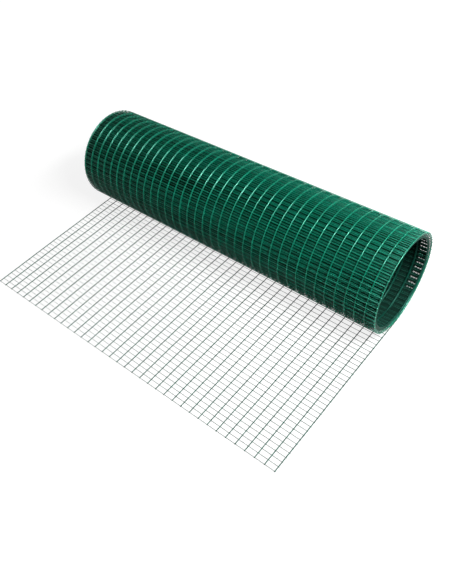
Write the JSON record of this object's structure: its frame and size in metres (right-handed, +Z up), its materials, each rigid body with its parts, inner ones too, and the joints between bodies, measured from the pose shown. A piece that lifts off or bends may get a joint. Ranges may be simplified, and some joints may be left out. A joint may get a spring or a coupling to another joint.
{
  "type": "roll of wire fencing",
  "caption": "Roll of green plastic-coated welded wire mesh lying on its side, wound round an open bore, with its free end unrolled flat on the floor in front of it.",
  "frame": {"origin": "on the floor, at the middle of the box round the roll and its flat free end together", "axes": "+X along the roll's axis, +Z up, the free end of the mesh points to -Y"},
  "size_m": [0.9184, 0.61, 0.251],
  "materials": {
    "coated_wire": "smooth dark green plastic coating over welded steel wire",
    "wound_mesh": null
  },
  "bodies": {
    "root": {"roll": "wound_mesh", "flat_mesh_panel_1": "coated_wire", "flat_mesh_panel_2": "coated_wire", "flat_mesh_panel_3": "coated_wire", "flat_mesh_panel_4": "coated_wire"}
  },
  "joints": []
}
